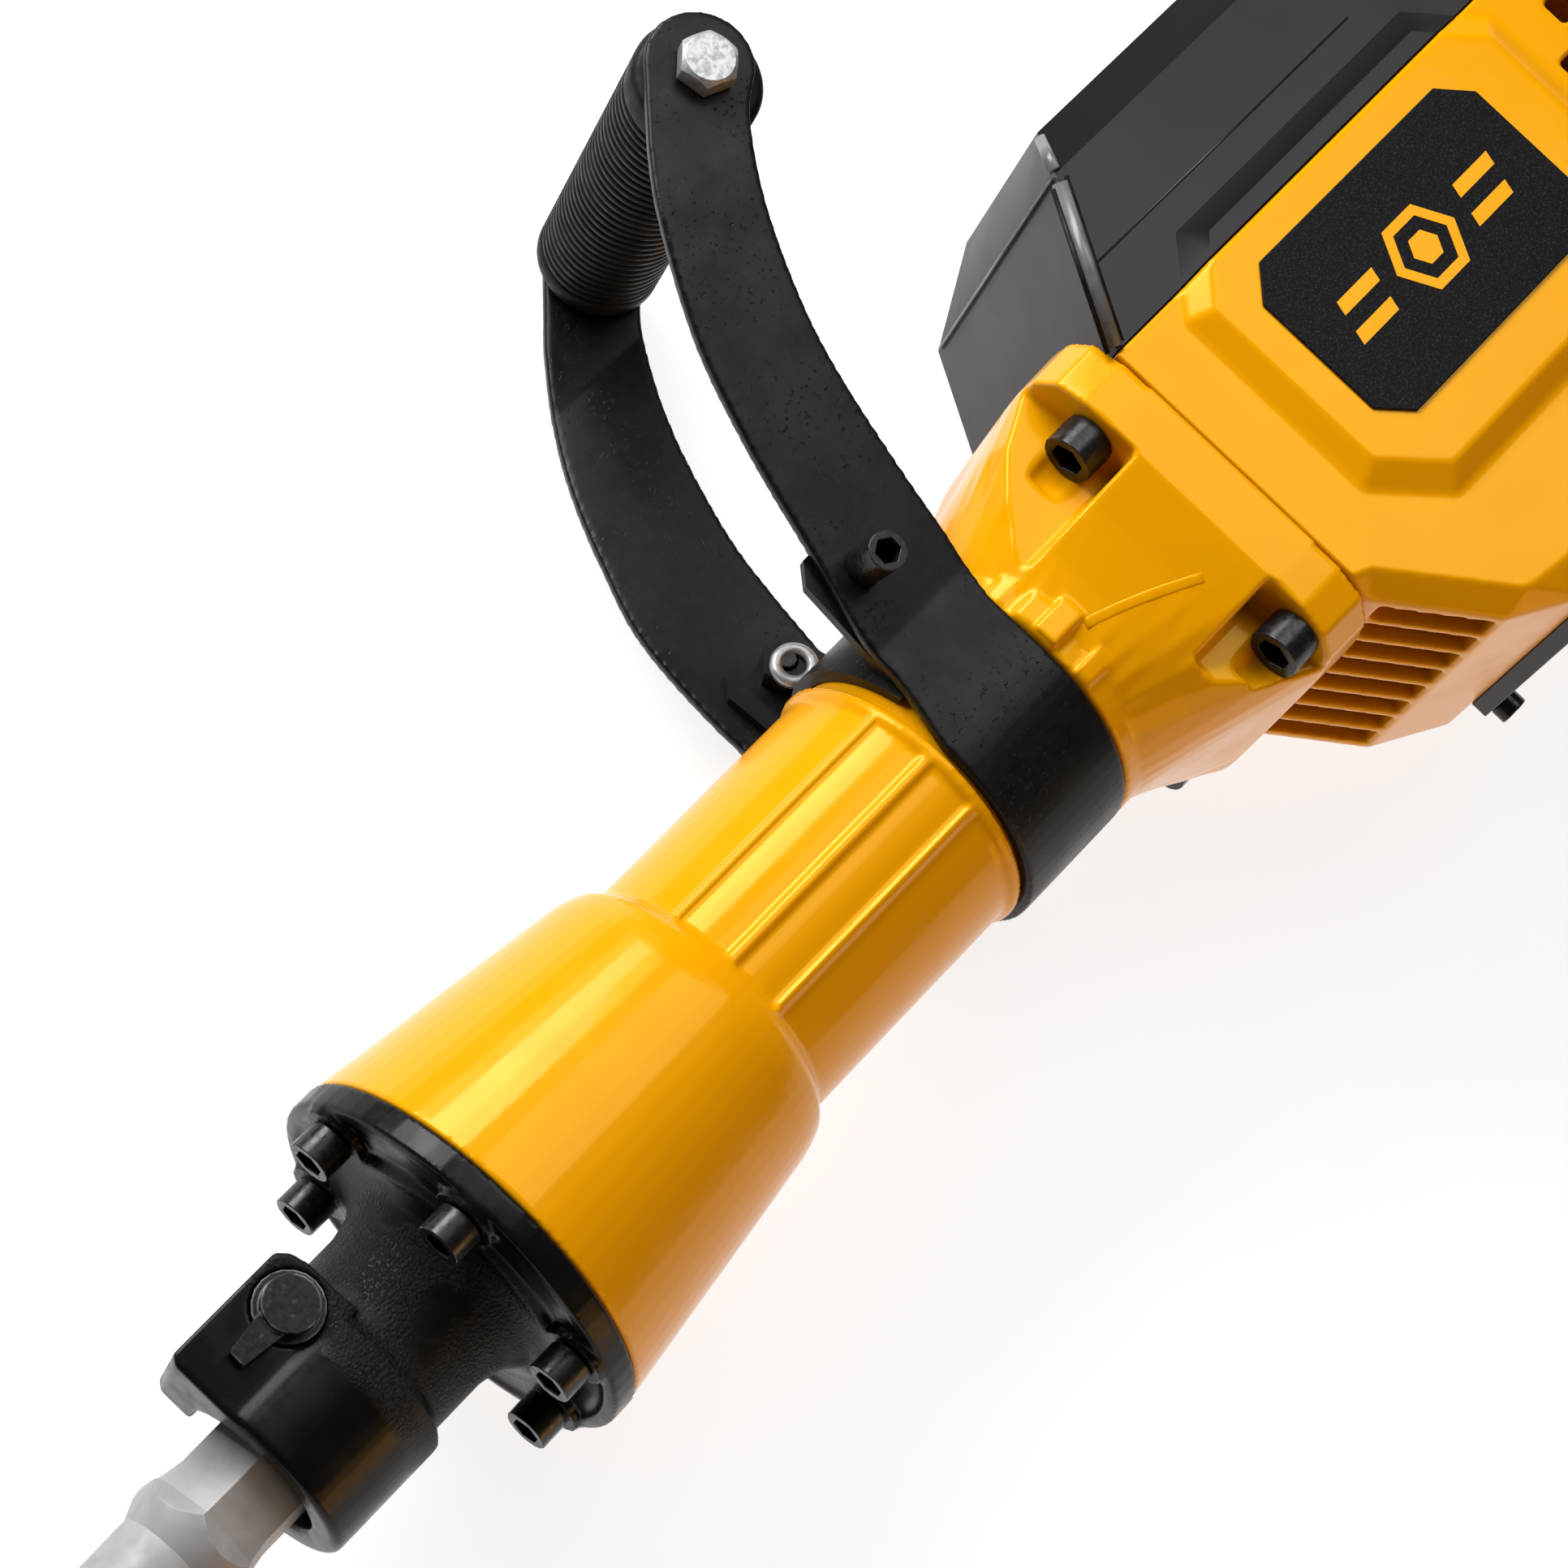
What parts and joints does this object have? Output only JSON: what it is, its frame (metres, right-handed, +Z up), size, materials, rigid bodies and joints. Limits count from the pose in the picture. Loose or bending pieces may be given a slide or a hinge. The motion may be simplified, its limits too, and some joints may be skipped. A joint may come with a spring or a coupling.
{
  "type": "demolition hammer",
  "caption": "Electric demolition hammer with hexagon-shank bull point, clamped front handle, geared crank drive, sealed striking train and rear D-handle with trigger.",
  "frame": {"origin": "middle of the bounding box underside, the hammer lying with its badge side up", "axes": "+X along the barrel from the chisel point to the rear handle, +Y towards the front handle, +Z up out of the badge side"},
  "size_m": [1.037, 0.3002, 0.1477],
  "materials": {
    "yellow_enamel": "gloss enamel on an aluminium casting",
    "black_enamel": "satin black enamel on sheet steel",
    "black_casting": "rough black painted casting",
    "black_plastic": "semi-gloss moulded plastic",
    "black_rubber": "matt rubber",
    "black_oxide": "black oxide, oiled",
    "zinc_plate": "bright zinc plate",
    "forged_steel": "shot-blasted forging",
    "ground_steel": "ground steel",
    "piston_alloy": "machined",
    "copper": "turned copper",
    "carbon": "pressed carbon",
    "badge_black": "fine-grained black print",
    "red_plastic": "moulded red plastic"
  },
  "bodies": {
    "case": {"cylinder_case": "yellow_enamel", "crank_case": "yellow_enamel", "gear_housing": "black_plastic", "end_cover": "black_plastic", "front_cover": "black_casting", "front_cover_bolt_1": "black_oxide", "front_cover_bolt_2": "black_oxide", "front_cover_bolt_3": "black_oxide", "front_cover_bolt_4": "black_oxide", "front_cover_bolt_5": "black_oxide", "front_cover_bolt_6": "black_oxide", "case_bolt_1": "black_oxide", "case_bolt_2": "black_oxide", "case_bolt_3": "black_oxide", "case_bolt_4": "black_oxide", "end_cover_screw_1": "black_oxide", "end_cover_screw_2": "black_oxide", "end_cover_screw_3": "black_oxide", "end_cover_screw_4": "black_oxide", "cylinder_liner": "ground_steel", "anvil_holder": "ground_steel", "damper_ring": "black_rubber", "stator": "forged_steel", "crank_bearing": "ground_steel", "armature_front_bearing": "ground_steel", "armature_rear_bearing": "ground_steel", "carbon_brush_upper": "carbon", "carbon_brush_lower": "carbon", "brush_cap_upper": "black_plastic", "brush_cap_lower": "black_plastic", "badge_plate": "badge_black", "handle_upper_half": "black_plastic", "handle_lower_half": "black_plastic", "trigger_switch": "black_plastic", "cord_inlet": "black_rubber"},
    "chisel": {"chisel_bit": "forged_steel"},
    "anvil": {"anvil": "ground_steel"},
    "striker": {"striker": "ground_steel"},
    "piston": {"piston": "piston_alloy", "wrist_pin": "ground_steel"},
    "conrod": {"conrod": "forged_steel", "crank_pin": "ground_steel"},
    "crank": {"crankshaft": "forged_steel", "final_gear": "ground_steel"},
    "intermediate": {"intermediate_shaft": "ground_steel", "intermediate_gear": "ground_steel"},
    "armature": {"armature_shaft": "ground_steel", "armature_core": "forged_steel", "commutator": "copper", "cooling_fan": "black_plastic"},
    "retainer": {"retainer_pin": "black_oxide"},
    "front_handle": {"handle_bracket": "black_enamel", "handle_saddle": "black_enamel", "clamp_screw_1": "black_oxide", "clamp_screw_2": "black_oxide", "front_grip": "black_rubber", "grip_bolt": "zinc_plate", "grip_nut": "zinc_plate"},
    "trigger": {"trigger": "black_plastic"},
    "lock_button": {"lock_button": "red_plastic"}
  },
  "joints": [
    {"name": "chisel_slide", "type": "slide", "parent": "case", "child": "chisel", "axis": [-1, 0, 0], "range_m": [0, 0.03]},
    {"name": "anvil_slide", "type": "slide", "parent": "case", "child": "anvil", "axis": [-1, 0, 0], "range_m": [0, 0.012]},
    {"name": "striker_slide", "type": "slide", "parent": "case", "child": "striker", "axis": [-1, 0, 0], "range_m": [-0.015, 0.022]},
    {"name": "piston_slide", "type": "slide", "parent": "case", "child": "piston", "axis": [-1, 0, 0], "range_m": [0, 0.03]},
    {"name": "conrod_swing", "type": "hinge", "parent": "piston", "child": "conrod", "pos_m": [0.1345, -0.04301, 0.07602], "axis": [0, 1, 0], "range_deg": [-10.2, 10.2]},
    {"name": "crank_spin", "type": "hinge", "parent": "case", "child": "crank", "pos_m": [0.2045, -0.04301, 0.07602], "axis": [0, 1, 0], "continuous": true},
    {"name": "intermediate_spin", "type": "hinge", "parent": "case", "child": "intermediate", "pos_m": [0.25553, -0.04301, 0.06822], "axis": [0, 1, 0], "continuous": true},
    {"name": "armature_spin", "type": "hinge", "parent": "case", "child": "armature", "pos_m": [0.2845, -0.04301, 0.07602], "axis": [0, 1, 0], "continuous": true},
    {"name": "retainer_turn", "type": "hinge", "parent": "case", "child": "retainer", "pos_m": [-0.1855, -0.02261, 0.07602], "axis": [0, 0, 1], "range_deg": [-180, 0]},
    {"name": "front_handle_turn", "type": "hinge", "parent": "case", "child": "front_handle", "pos_m": [0.0585, -0.04301, 0.07602], "axis": [1, 0, 0], "continuous": true},
    {"name": "trigger_pull", "type": "slide", "parent": "case", "child": "trigger", "axis": [1, 0, 0], "range_m": [0, 0.006], "stiffness_N_per_m": 600},
    {"name": "lock_button_press", "type": "slide", "parent": "case", "child": "lock_button", "axis": [0, 0, -1], "range_m": [0, 0.004], "stiffness_N_per_m": 600, "springref_m": -0.0005}
  ],
  "couplings": [
    {"joint": "anvil_slide", "follows": "chisel_slide", "ratio": 0.4},
    {"joint": "intermediate_spin", "follows": "crank_spin", "ratio": -3.5385},
    {"joint": "armature_spin", "follows": "crank_spin", "ratio": 13.446}
  ]
}
